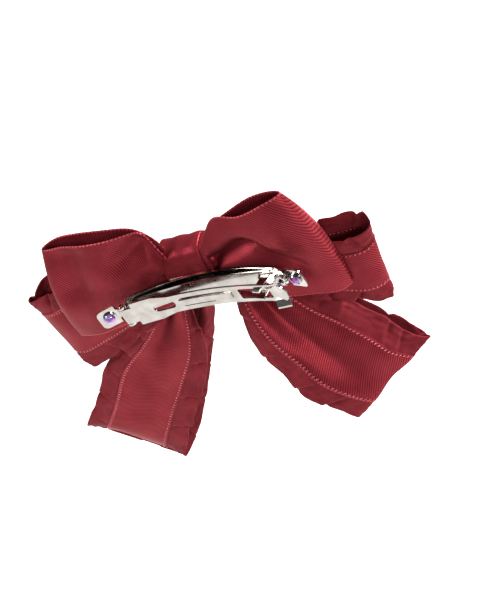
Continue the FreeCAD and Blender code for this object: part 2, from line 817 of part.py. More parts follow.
def loop_wall(reach, near, far, grow):
    """Section of a folded ribbon seen across its width, grown outwards by grow."""
    throat = "(%s / 2 + %s)" % (THROAT, grow)
    low = "(-%s - %s)" % (throat, near)
    high = "(%s + %s)" % (throat, far)
    radius = "((%s - %s) / 2)" % (high, low)
    middle = "((%s + %s) / 2)" % (high, low)
    fold = "(%s + %s)" % (reach, grow)
    neck = "(%s / 3)" % reach
    start = "(-%s)" % grow
    bend = (radius, 1)
    return [
        (start, "-" + throat),
        (neck, "-" + throat),
        ("%s - %s" % (fold, radius), low, bend),
        (fold, middle, bend),
        ("%s - %s" % (fold, radius), high),
        (neck, throat),
        (start, throat),
    ]


def ribbon_edge(shape, widths):
    """Places along a loop with the edge's distance from the centre line at each."""
    return [
        ("-2 * Size.ribbon_thickness", widths[0]),
        (shape["waist_at"], widths[1]),
        (shape["full_at"], widths[2]),
        ("%s + Size.clip_length" % shape["reach"], widths[2]),
    ]


def ribbon_outline(shape, inner, outer):
    """Outline between two edges of a ribbon; each edge is three half widths."""
    return ribbon_edge(shape, inner) + list(reversed(ribbon_edge(shape, outer)))


def make_ribbon(label, loop, shape, edges, inner_grow="-Size.ribbon_thickness", outer_grow="0"):
    """A loop's wall cut to one or more outlines between edges across its width."""
    body = new_body(label)
    wall = new_sketch(body, "XY_Plane", "wall")
    draw_outline(wall, loop_wall(shape["reach"], shape["near"], shape["far"], outer_grow))
    draw_outline(wall, loop_wall(shape["reach"], shape["near"], shape["far"], inner_grow))
    add_pad(body, wall, "2 * Size.satin_width")
    outline = new_sketch(body, "XZ_Plane", "outline")
    draw_outline(outline, trim_frame())
    for inner, outer in edges:
        draw_outline(outline, ribbon_outline(shape, inner, outer))
    add_pocket(body, outline)
    turn = Rotation(Vector(0, 1, 0), value("Size.%s_angle" % loop))
    if shape["tilts"]:
        pitch = Rotation(Vector(0, 0, 1), -value("Size.%s_pitch" % loop))
        tilt = Rotation(Vector(1, 0, 0), value("Size.%s_tilt" % loop))
        turn = turn.multiply(pitch).multiply(tilt)
    start_x = "Size.bow_x + Size.%s_x" % loop
    level_y = "Size.knot_back + Size.%s * Size.knot_depth" % shape["level"]
    place(body, start_x, level_y, "Size.%s_z" % loop, turn)


def negative(widths):
    return [minus(width) for width in widths]


def make_satin_loops():
    widths = ["Size.satin_knot_width / 2", "Size.satin_waist_width / 2", "Size.satin_width / 2"]
    for side in ("left", "right"):
        loop = "satin_" + side
        shape = {
            "reach": "Size.%s_reach" % loop,
            "waist_at": "Size.satin_waist_at",
            "full_at": "Size.satin_full_at",
            "near": "Size.satin_bulge",
            "far": "0",
            "level": "satin_level",
            "tilts": False,
        }
        make_ribbon("satin_loop_" + side, loop, shape, [(negative(widths), widths)])


def make_ruffle_loops():
    band = ["Size.band_knot_width / 2", "Size.band_waist_width / 2", "Size.band_width / 2"]
    rim = [
        "(Size.band_knot_width / 2 + Size.trim_knot_width)",
        "(Size.band_waist_width / 2 + Size.trim_waist_width)",
        "(Size.band_width / 2 + Size.trim_width)",
    ]
    seam_in = ["%s - Size.stitch_inset - Size.stitch_width" % half for half in band]
    seam_out = ["%s - Size.stitch_inset" % half for half in band]
    levels = {
        "upper": ("0", "Size.ruffle_bulge", False),
        "lower": ("Size.ruffle_bulge / 2", "Size.ruffle_bulge / 2", True),
    }
    for level, (near, far, tilts) in levels.items():
        for side in ("left", "right"):
            loop = "%s_%s" % (level, side)
            shape = {
                "reach": "Size.%s_reach" % loop,
                "waist_at": "Size.ruffle_waist_at",
                "full_at": "Size.ruffle_full_at",
                "near": near,
                "far": far,
                "level": level + "_ruffle_level",
                "tilts": tilts,
            }
            make_ribbon("ruffle_loop_" + loop, loop, shape, [(negative(band), band)])
            first, second = ("lower", "upper") if side == "left" else ("upper", "lower")
            make_ribbon(first + "_trim_" + loop, loop, shape, [(band, rim)])
            make_ribbon(second + "_trim_" + loop, loop, shape, [(negative(rim), negative(band))])
            rows = [(seam_in, seam_out), (negative(seam_out), negative(seam_in))]
            make_ribbon("stitching_" + loop, loop, shape, rows, "0", "Size.stitch_height")


def check_and_export():
    doc.recompute()
    failed = [item.Label for item in doc.Objects if set(item.State) & {"Invalid", "Error"}]
    if failed:
        raise RuntimeError("failed objects: " + ", ".join(failed))
    bodies = [item for item in doc.Objects if item.TypeId == "PartDesign::Body"]
    for body in bodies:
        if body.Shape.isNull() or not body.Shape.isValid():
            raise RuntimeError("bad shape: " + body.Label)
    os.makedirs("parts", exist_ok=True)
    for body in bodies:
        body.Shape.exportStep("parts/%s.step" % body.Label)
        print("%-28s %9.2f mm3, %d solids" % (body.Label, body.Shape.Volume, len(body.Shape.Solids)))


fill_sheet()
make_base_plate()
make_hinge_pin()
make_clip_arm()
make_tension_bar()
make_keeper()
make_keeper_rivet()
make_cup_and_stone("hinge_end", "-")
make_cup_and_stone("clasp_end", "")
make_glue_pad()
make_knot()
make_satin_loops()
make_ruffle_loops()
check_and_export()
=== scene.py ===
import math
import random

import bmesh
import bpy
from mathutils import Matrix, Vector, noise


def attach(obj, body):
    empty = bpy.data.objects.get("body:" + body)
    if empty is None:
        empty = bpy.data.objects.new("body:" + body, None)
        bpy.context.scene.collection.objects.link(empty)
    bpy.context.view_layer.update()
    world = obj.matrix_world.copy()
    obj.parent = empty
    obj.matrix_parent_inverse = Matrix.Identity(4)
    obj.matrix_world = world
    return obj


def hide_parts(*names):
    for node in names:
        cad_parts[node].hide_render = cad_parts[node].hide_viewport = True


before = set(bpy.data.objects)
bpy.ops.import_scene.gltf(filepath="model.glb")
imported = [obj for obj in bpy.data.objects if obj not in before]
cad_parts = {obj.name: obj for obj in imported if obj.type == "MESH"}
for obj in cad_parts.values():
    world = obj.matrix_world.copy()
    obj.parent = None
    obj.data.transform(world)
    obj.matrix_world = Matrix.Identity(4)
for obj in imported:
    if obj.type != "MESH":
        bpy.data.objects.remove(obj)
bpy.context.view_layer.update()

# Hair bow on a sprung barrette, seen from the side that lies against the head.
# Guide points and the sizes in the dictionaries are in millimetres, the rest in metres.
mm = 0.001
satinWidth = 46
print("frame loaded, nodes:", len(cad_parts))


# ---- camera

cameraPlace = {
    "azimuth": 35.96,
    "elevation": 37.85,
    "roll": 35.92,
    "distance": 0.8199,
    "target": (0.01097, 0.0, -0.00695),
    "lens": 145.4,
    "sensor": 36,
    "nearest": 0.05,
    "furthest": 20,
}


def viewAxes(place):
    azimuth = math.radians(place["azimuth"])
    elevation = math.radians(place["elevation"])
    roll = math.radians(place["roll"])
    back = Vector((
        math.sin(azimuth) * math.cos(elevation),
        -math.cos(azimuth) * math.cos(elevation),
        math.sin(elevation),
    ))
    level = Vector((math.cos(azimuth), math.sin(azimuth), 0))
    upright = back.cross(level)
    right = math.cos(roll) * level - math.sin(roll) * upright
    up = math.sin(roll) * level + math.cos(roll) * upright
    return right, up, back


def addCamera(place):
    right, up, back = viewAxes(place)
    data = bpy.data.cameras.new("camera")
    data.lens = place["lens"]
    data.sensor_width = place["sensor"]
    data.clip_start = place["nearest"]
    data.clip_end = place["furthest"]
    camera = bpy.data.objects.new("camera", data)
    bpy.context.scene.collection.objects.link(camera)
    turn = Matrix((right, up, back)).transposed().to_4x4()
    spot = Vector(place["target"]) + back * place["distance"]
    camera.matrix_world = Matrix.Translation(spot) @ turn
    bpy.context.scene.camera = camera
    return right, up, back


viewRight, viewUp, viewBack = addCamera(cameraPlace)
print("camera placed")


# ---- materials

def linear(hexColour):
    channels = [int(hexColour[index:index + 2], 16) / 255 for index in (1, 3, 5)]
    return tuple(
        channel / 12.92 if channel <= 0.04045 else ((channel + 0.055) / 1.055) ** 2.4
        for channel in channels
    ) + (1.0,)


def addNode(tree, kind, settings=None, values=None, links=None):
    node = tree.nodes.new(kind)
    for name, setting in (settings or {}).items():
        setattr(node, name, setting)
    for name, number in (values or {}).items():
        node.inputs[name].default_value = number
    for name, source in (links or {}).items():
        tree.links.new(source, node.inputs[name])
    return node


def newMaterial(name, surface):
    material = bpy.data.materials.new(name)
    material.use_nodes = True
    tree = material.node_tree
    shader = tree.nodes["Principled BSDF"]
    for socket, number in surface.items():
        shader.inputs[socket].default_value = number
    return material, tree, shader


def bandScale(pitch):
    # a wave texture's bands are pi / 10 apart at scale 1
    return math.pi / 10 / pitch


def rampBetween(tree, factor, low, high, lowAt, highAt):
    ramp = addNode(tree, "ShaderNodeValToRGB", links={"Fac": factor})
    first, last = ramp.color_ramp.elements
    first.position, first.color = lowAt, linear(low)
    last.position, last.color = highAt, linear(high)
    return ramp.outputs["Color"]


def objectNoise(tree, scale, detail, roughness=0.5):
    # scale is roughly the number of patches to the metre
    place = addNode(tree, "ShaderNodeTexCoord").outputs["Object"]
    return addNode(tree, "ShaderNodeTexNoise", values={
        "Scale": scale, "Detail": detail, "Roughness": roughness,
    }, links={"Vector": place}).outputs["Fac"]


def addBump(tree, shader, height, strength, distance):
    bump = addNode(tree, "ShaderNodeBump", values={"Strength": strength, "Distance": distance * mm},
                   links={"Height": height}).outputs["Normal"]
    tree.links.new(bump, shader.inputs["Normal"])


def mixColours(tree, blend, share, under, over):
    # each of share, under and over is a socket or a plain value
    mixed = addNode(tree, "ShaderNodeMix", {"data_type": "RGBA", "blend_type": blend})
    for socket, given in ((mixed.inputs["Factor"], share), (mixed.inputs[6], under), (mixed.inputs[7], over)):
        if isinstance(given, bpy.types.NodeSocket):
            tree.links.new(given, socket)
        else:
            socket.default_value = given
    return mixed.outputs[2]


def calculate(tree, operation, first, second=None, third=None):
    # each of the values is a socket or a plain number
    given = {index: value for index, value in enumerate((first, second, third)) if value is not None}
    sockets = {index: value for index, value in given.items() if isinstance(value, bpy.types.NodeSocket)}
    numbers = {index: value for index, value in given.items() if index not in sockets}
    return addNode(tree, "ShaderNodeMath", {"operation": operation}, numbers, sockets).outputs["Value"]


satinWeave = {
    "twillPitch": 0.75, "twillAngle": -29, "weftPitch": 0.55, "weftShare": 0.6,
    "selvedgePitch": 1.3, "selvedgeWidth": 0.6, "relief": 0.12,
}


# Polyester satin ribbon, woven with long floats: diagonal lines of thread and a soft gloss that
# takes the dye's own colour, so it is part metallic. The threads are 0.25 mm apart, drawn at
# 0.75 mm along and 0.55 mm across so that they show.
def makeSatin():
    material, tree, shader = newMaterial("wovenPolyesterSatin", {
        "Roughness": 0.34,
        "IOR": 1.5,
        "Specular IOR Level": 0.1,
        "Specular Tint": linear("#E04A52"),
        "Metallic": 0.4,
        "Anisotropic": 0.3,
        "Anisotropic Rotation": 0.25,
    })
    cloth = addNode(tree, "ShaderNodeUVMap", {"uv_map": "cloth"}).outputs["UV"]
    turned = addNode(tree, "ShaderNodeMapping", values={
        "Rotation": (0, 0, math.radians(satinWeave["twillAngle"])),
    }, links={"Vector": cloth}).outputs["Vector"]
    twill = addNode(tree, "ShaderNodeTexWave", values={
        "Scale": bandScale(satinWeave["twillPitch"]), "Distortion": 0.6, "Detail": 1.0, "Detail Scale": 0.6,
    }, links={"Vector": turned}).outputs["Fac"]
    weft = addNode(tree, "ShaderNodeTexWave", {"bands_direction": "Y"}, {
        "Scale": bandScale(satinWeave["weftPitch"]), "Distortion": 0.4, "Detail": 1.0, "Detail Scale": 1.0,
    }, {"Vector": cloth}).outputs["Fac"]
    threads = calculate(tree, "MULTIPLY_ADD", weft, satinWeave["weftShare"], twill)
    woven = rampBetween(tree, threads, "#380C14", "#8C2E36", 0.1, 1.0)
    shaded = rampBetween(tree, objectNoise(tree, 75, 3, 0.6), "#DCD0D0", "#FFFFFF", 0.3, 0.7)
    colour = mixColours(tree, "MULTIPLY", 1.0, woven, shaded)
    # the woven edge of the ribbon is a row of loops; their lighter colour is a painted highlight where the
    # loops catch light
    across = addNode(tree, "ShaderNodeSeparateXYZ", links={"Vector": cloth}).outputs["Y"]
    side = calculate(tree, "ABSOLUTE", calculate(tree, "SUBTRACT", across, satinWidth / 2))
    edge = calculate(tree, "GREATER_THAN", side, satinWidth / 2 - satinWeave["selvedgeWidth"])
    loops = addNode(tree, "ShaderNodeTexWave", values={"Scale": bandScale(satinWeave["selvedgePitch"])},
                    links={"Vector": cloth}).outputs["Fac"]
    paintedSelvedgeHighlight = calculate(tree, "MULTIPLY", edge, loops)
    # painted highlight colour laid on the edge loops
    colourWithEdgeHighlight = mixColours(tree, "MIX", paintedSelvedgeHighlight, colour, linear("#A8464F"))
    tree.links.new(colourWithEdgeHighlight, shader.inputs["Base Color"])
    addBump(tree, shader, threads, 0.3, satinWeave["relief"])
    tangent = addNode(tree, "ShaderNodeTangent", {"direction_type": "UV_MAP", "uv_map": "cloth"})
    tree.links.new(tangent.outputs["Tangent"], shader.inputs["Tangent"])
    return material


taffetaWeave = {"pitch": 0.6, "warpShare": 0.35, "relief": 0.1}


# Plain-woven taffeta trim, pleated and pressed: dull, with a fine even grain and no gloss.
# Its threads are 0.3 mm apart, drawn at 0.6 mm so that they show.
def makeTaffeta():
    material, tree, shader = newMaterial("pleatedTaffeta", {
        "Roughness": 0.6,
        "IOR": 1.5,
        "Specular IOR Level": 0.05,
        "Specular Tint": linear("#E04A52"),
    })
    cloth = addNode(tree, "ShaderNodeUVMap", {"uv_map": "cloth"}).outputs["UV"]
    warp = addNode(tree, "ShaderNodeTexWave", values={
        "Scale": bandScale(taffetaWeave["pitch"]), "Distortion": 0.8, "Detail": 1.0,
    }, links={"Vector": cloth}).outputs["Fac"]
    patches = objectNoise(tree, 120, 4, 0.65)
    mixed = calculate(tree, "MULTIPLY_ADD", warp, taffetaWeave["warpShare"], patches)
    colour = rampBetween(tree, mixed, "#55161D", "#7C2A30", 0.35, 0.95)
    tree.links.new(colour, shader.inputs["Base Color"])
    addBump(tree, shader, mixed, 0.35, taffetaWeave["relief"])
    return material


# Twisted polyester sewing thread: lighter than the cloth because it stands proud and catches light.
def makeThread():
    material, tree, shader = newMaterial("twistedPolyesterThread", {
        "Roughness": 0.5,
        "Sheen Weight": 0.4,
        "Sheen Roughness": 0.4,
        "Sheen Tint": linear("#F4A8A8"),
    })
    colour = rampBetween(tree, objectNoise(tree, 1800, 2), "#A03442", "#CC6A70", 0.3, 0.7)
    tree.links.new(colour, shader.inputs["Base Color"])
    return material


# Nickel-plated spring steel, stamped and barrel polished: bright and a little warm, with faint
# lines along the strip and a few duller rubbed patches.
def makeNickel():
    material, tree, shader = newMaterial("polishedNickelPlate", {
        "Metallic": 1.0,
        "Anisotropic": 0.3,
    })
    place = addNode(tree, "ShaderNodeTexCoord").outputs["Object"]
    # the lines are about 200 mm long and 2 mm apart
    stretched = addNode(tree, "ShaderNodeMapping", values={"Scale": (5, 450, 450)},
                        links={"Vector": place}).outputs["Vector"]
    lines = addNode(tree, "ShaderNodeTexNoise", values={"Scale": 1.0, "Detail": 1.0},
                    links={"Vector": stretched}).outputs["Fac"]
    rubbed = objectNoise(tree, 260, 4)
    colour = rampBetween(tree, rubbed, "#96918B", "#B2AEA8", 0.3, 0.7)
    tree.links.new(colour, shader.inputs["Base Color"])
    roughness = addNode(tree, "ShaderNodeMapRange", values={
        "From Min": 0.3, "From Max": 0.7, "To Min": 0.1, "To Max": 0.2,
    }, links={"Value": rubbed}).outputs["Result"]
    tree.links.new(roughness, shader.inputs["Roughness"])
    addBump(tree, shader, lines, 0.3, 0.03)
    return material


# Pressed glass stone, iridescent coated: violet with pale blue and pink patches about 1 mm
# across. It is part metallic for the foil behind it.
def makeGlass():
    material, tree, shader = newMaterial("foilBackedVioletGlass", {
        "Roughness": 0.06,
        "IOR": 1.52,
        "Coat Weight": 0.8,
        "Coat Roughness": 0.03,
        "Metallic": 0.35,
    })
    place = addNode(tree, "ShaderNodeTexCoord").outputs["Object"]
    patches = addNode(tree, "ShaderNodeTexVoronoi", values={"Scale": 900.0, "Randomness": 0.9},
                      links={"Vector": place}).outputs["Color"]
    shade = addNode(tree, "ShaderNodeSeparateColor", links={"Color": patches}).outputs["Red"]
    ramp = addNode(tree, "ShaderNodeValToRGB", links={"Fac": shade})
    ramp.color_ramp.elements[0].color = linear("#3C1C5A")
    ramp.color_ramp.elements[1].color = linear("#B49CD8")
    for at, tint in ((0.35, "#7A4A9C"), (0.6, "#B85C9A"), (0.8, "#6A78C8")):
        ramp.color_ramp.elements.new(at).color = linear(tint)
    tree.links.new(ramp.outputs["Color"], shader.inputs["Base Color"])
    return material


# Hot-melt glue that has set: cloudy, pale amber and waxy.
def makeGlue():
    material, tree, shader = newMaterial("setHotMeltGlue", {
        "Roughness": 0.35,
        "Subsurface Weight": 0.3,
        "Subsurface Radius": (0.002, 0.0015, 0.001),
    })
    colour = rampBetween(tree, objectNoise(tree, 220, 3), "#B8AC96", "#D8CFBE", 0.3, 0.7)
    tree.links.new(colour, shader.inputs["Base Color"])
    return material


satin = makeSatin()
taffeta = makeTaffeta()
thread = makeThread()
nickel = makeNickel()
violetGlass = makeGlass()
glue = makeGlue()
print("materials made")


# ---- metal, stones and glue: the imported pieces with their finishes

hardFinish = {
    "base_plate": nickel,
    "hinge_pin": nickel,
    "clip_arm": nickel,
    "tension_bar": nickel,
    "keeper": nickel,
    "keeper_rivet": nickel,
    "hinge_end_cup": nickel,
    "clasp_end_cup": nickel,
    "hinge_end_stone": violetGlass,
    "clasp_end_stone": violetGlass,
    "glue_pad": glue,
    "gather_thread": thread,
}
for name, finish in hardFinish.items():
    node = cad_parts[name]
    node.data.materials.clear()
    node.data.materials.append(finish)
print("metal and stones finished")


# ---- ribbon: a strip led along two edges of guide points, from the knot out to the fold and back

ribbon = {"thickness": 0.35, "rowStep": 0.5, "satinColumns": 76, "bandColumns": 48}
# how far from the knot or the fold each kind of fold lasts, and how much is left to chance
drape = {
    "foldReach": 6, "knotReach": 14, "gatherReach": 11, "fineReach": 6, "fineShare": 0.5,
    "fineFolds": 1.7, "uneven": 0.35, "unevenSize": 11,
}


def onCurve(points, at):
    # a smooth curve through the points; at counts them from 0
    last = len(points) - 1
    index = min(max(int(at), 0), last - 1)
    part = at - index
    before, start = points[max(index - 1, 0)], points[index]
    end, after = points[index + 1], points[min(index + 2, last)]
    return 0.5 * (
        2 * start
        + (end - before) * part
        + (2 * before - 5 * start + 4 * end - after) * part ** 2
        + (3 * start - before - 3 * end + after) * part ** 3
    )


def loopTurn(loop):
    return (
        Matrix.Rotation(math.radians(loop["angle"]), 3, "Y")
        @ Matrix.Rotation(-math.radians(loop["pitch"]), 3, "Z")
        @ Matrix.Rotation(math.radians(loop["tilt"]), 3, "X")
    )


def ribbonRows(loop):
    # rows across the ribbon, a step apart along it, each with its two edges and its axes
    samples, lookAhead = 24, 0.03
    turn, start = loopTurn(loop), Vector(loop["start"])
    edges = [[start + turn @ Vector(point) for point in loop[side]] for side in ("firstEdge", "secondEdge")]
    middle = [(first + second) / 2 for first, second in zip(*edges)]
    ats = [index / samples for index in range(samples * (len(middle) - 1) + 1)]
    travelled = [0.0]
    for before, after in zip(ats, ats[1:]):
        travelled.append(travelled[-1] + (onCurve(middle, after) - onCurve(middle, before)).length)
    length = travelled[-1]
    foldAt = travelled[samples * loop["foldPoint"]]
    count = int(length / ribbon["rowStep"])
    rows, index = [], 0
    for number in range(count + 1):
        along = length * number / count
        while index < len(ats) - 2 and travelled[index + 1] < along:
            index += 1
        share = (along - travelled[index]) / max(travelled[index + 1] - travelled[index], 1e-6)
        at = ats[index] + share / samples
        first, second = onCurve(edges[0], at), onCurve(edges[1], at)
        behind, beyond = max(at - lookAhead, 0), min(at + lookAhead, len(middle) - 1)
        ahead = onCurve(middle, beyond) - onCurve(middle, behind)
        across = (second - first).normalized()
        outward = ahead.cross(across).normalized()
        rows.append({
            "along": along, "first": first, "second": second, "ahead": ahead.normalized(),
            "across": across, "outward": outward, "length": length, "foldAt": foldAt,
        })
    return rows


def toSegment(point, start, end):
    line = (end[0] - start[0], end[1] - start[1])
    size = line[0] ** 2 + line[1] ** 2
    away = (point[0] - start[0], point[1] - start[1])
    share = min(max((away[0] * line[0] + away[1] * line[1]) / max(size, 1e-6), 0), 1)
    return math.hypot(away[0] - share * line[0], away[1] - share * line[1])


def ribbonLift(loop, row, across):
    # how far the cloth stands out of the strip between its edges; across runs from 0 to 1
    along, length, foldAt = row["along"], row["length"], row["foldAt"]
    fromKnot = min(along, length - along)
    awayFromKnot = min(fromKnot / drape["knotReach"], 1)
    nearFold = math.exp(-((along - foldAt) / drape["foldReach"]) ** 2)
    crown = loop["nearCrown"] if along < foldAt else loop["farCrown"]
    arch = 4 * across * (1 - across)
    lift = arch * (crown * awayFromKnot * (1 - nearFold) + loop["foldCrown"] * nearFold)
    wave, phase = 2 * math.pi * loop["gathers"] * across, loop["phase"]
    lift += loop["gatherDepth"] * (
        math.exp(-fromKnot / drape["gatherReach"]) * math.cos(wave + phase)
        + drape["fineShare"] * math.exp(-fromKnot / drape["fineReach"])
        * math.cos(drape["fineFolds"] * wave + 2 * phase)
    )
    spot = (along, across * loop["width"])
    lift -= max((
        depth * math.exp(-(toSegment(spot, start, end) / width) ** 2)
        for start, end, width, depth in loop["valleys"]
    ), default=0)
    ridge = loop["ridge"] * awayFromKnot * math.exp(-fromKnot / loop["ridgeReach"])
    lift += ridge * math.cos(2 * math.pi * (loop["ridges"] * across + loop["ridgeShift"]))
    size = drape["unevenSize"]
    lift += drape["uneven"] * noise.noise(Vector((spot[0] / size, spot[1] / size, phase)))
    return lift


def ribbonPlace(loop, row, across, lift=0.0):
    flat = row["first"].lerp(row["second"], across)
    return (flat + row["outward"] * (ribbonLift(loop, row, min(max(across, 0), 1)) + lift)) * mm


def finishMesh(bm, name, material, recalculate=False):
    if recalculate:
        bmesh.ops.recalc_face_normals(bm, faces=bm.faces)
    for face in bm.faces:
        face.smooth = True
    mesh = bpy.data.meshes.new(name)
    bm.to_mesh(mesh)
    bm.free()
    piece = bpy.data.objects.new(name, mesh)
    bpy.context.scene.collection.objects.link(piece)
    mesh.materials.append(material)
    return piece


def thicken(piece, thickness):
    solid = piece.modifiers.new("thickness", "SOLIDIFY")
    solid.thickness = thickness * mm
    solid.offset = -1
    solid.use_even_offset = False


def strip(name, rows, columns, placeAt, material, thickness, width):
    # a grid bent into place; its map is in millimetres of cloth along and across
    bm = bmesh.new()
    cloth = bm.loops.layers.uv.new("cloth")
    bmesh.ops.create_grid(bm, x_segments=len(rows) - 1, y_segments=columns, size=0.5)
    shares = {vertex: (vertex.co.x + 0.5, vertex.co.y + 0.5) for vertex in bm.verts}
    for face in bm.faces:
        for corner in face.loops:
            along, across = shares[corner.vert]
            corner[cloth].uv = (along * rows[-1]["along"], across * width)
    for vertex, (along, across) in shares.items():
        vertex.co = placeAt(rows[round(along * (len(rows) - 1))], across)
    # the grid's faces point along ahead x across, which is the outside of the loop
    piece = finishMesh(bm, name, material)
    thicken(piece, thickness)
    return piece


def belongs(piece, node):
    # every new piece is on the bow, not on the arm
    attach(piece, "bow")
    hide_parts(node)
    return piece


def makeBand(name, loop, rows, node, columns, low=0.0, high=1.0):
    def placeAt(row, across):
        return ribbonPlace(loop, row, low + (high - low) * across)

    width = loop["width"] * (high - low)
    piece = strip(name, rows, columns, placeAt, satin, ribbon["thickness"], width)
    return belongs(piece, node)


# Plain satin loops. Guide points are along the loop, away from the head (+) or
# towards it (-), and across it, all from the loop's own start.
satinLeft = {
    "start": (-13.8, 9.2, 0.5), "angle": 187, "pitch": 0, "tilt": 0, "width": satinWidth,
    "firstEdge": [
        (-3, -1, -9), (-1.7, -2, -17), (0.3, -3.5, -25), (6, -4.3, -26.9), (19, -4.7, -25.7),
        (31, -4.2, -24.6), (40.4, -0.8, -22.6), (35, 1.6, -24.9), (26, 1.6, -26.4), (15.7, 1.6, -26.3),
        (4.8, 1.6, -25), (-1, 1.5, -18), (-3, 1, -9),
    ],
    "secondEdge": [
        (-3, -1, 8), (3, -2.5, 10), (10, -3.5, 12), (18, -4.3, 14), (26, -4.5, 16.2), (35, -4, 19.3),
        (44.9, -0.8, 22), (37, 1.6, 21.5), (28, 1.6, 20), (19, 1.6, 18), (10, 1.6, 15),
        (3, 1.4, 11), (-3, 1, 8),
    ],
    "foldPoint": 6, "nearCrown": 1.6, "farCrown": 0.6, "foldCrown": 2.8,
    "gathers": 3, "phase": 0.6, "gatherDepth": 0.5,
    "ridges": 1.4, "ridge": 0.9, "ridgeReach": 20, "ridgeShift": 0.35,
    "valleys": [((39, 6), (40, 20), 6.0, 3.4), ((12, 6), (18, 12), 6.0, 3.2)],
}
satinRight = {
    "start": (5.4, 9.2, 0.5), "angle": -4.5, "pitch": 0, "tilt": 0, "width": satinWidth,
    "firstEdge": [
        (-4, -1, -9), (4, -2, -11), (12, -3.5, -14.5), (20, -4, -17.4), (28.5, -4, -19.4),
        (35.5, -2.5, -22.2), (40, -0.2, -22), (36, 1.6, -22.5), (27, 1.6, -21), (18, 1.6, -18.5),
        (10, 1.6, -15), (3, 1.4, -11), (-4, 1, -8),
    ],
    "secondEdge": [
        (-4, -1, 9), (2, -1.5, 15), (6.5, -1.5, 19.5), (13, -2.2, 24.2), (22, -4, 23.1), (32.5, -4.5, 25),
        (39.2, -0.5, 24.6), (35.8, 1.6, 24.9), (27.6, 1.6, 25.4), (18, 1.6, 22.8), (11, 1.6, 20),
        (4, 1.4, 14), (-4, 1, 8),
    ],
    "foldPoint": 6, "nearCrown": 1.4, "farCrown": 0.6, "foldCrown": 3.4,
    "gathers": 3, "phase": 2.2, "gatherDepth": 0.5,
    "ridges": 1.2, "ridge": 1.0, "ridgeReach": 18, "ridgeShift": 0.1,
    "valleys": [((4, 29), (24, 30), 4.0, 4.2), ((24, 30), (33, 16), 4.4, 2.6)],
}


def makeSatinLoops():
    for side, loop in (("Left", satinLeft), ("Right", satinRight)):
        rows = ribbonRows(loop)
        piece = makeBand("satinLoop" + side, loop, rows, "satin_loop_" + side.lower(), ribbon["satinColumns"])


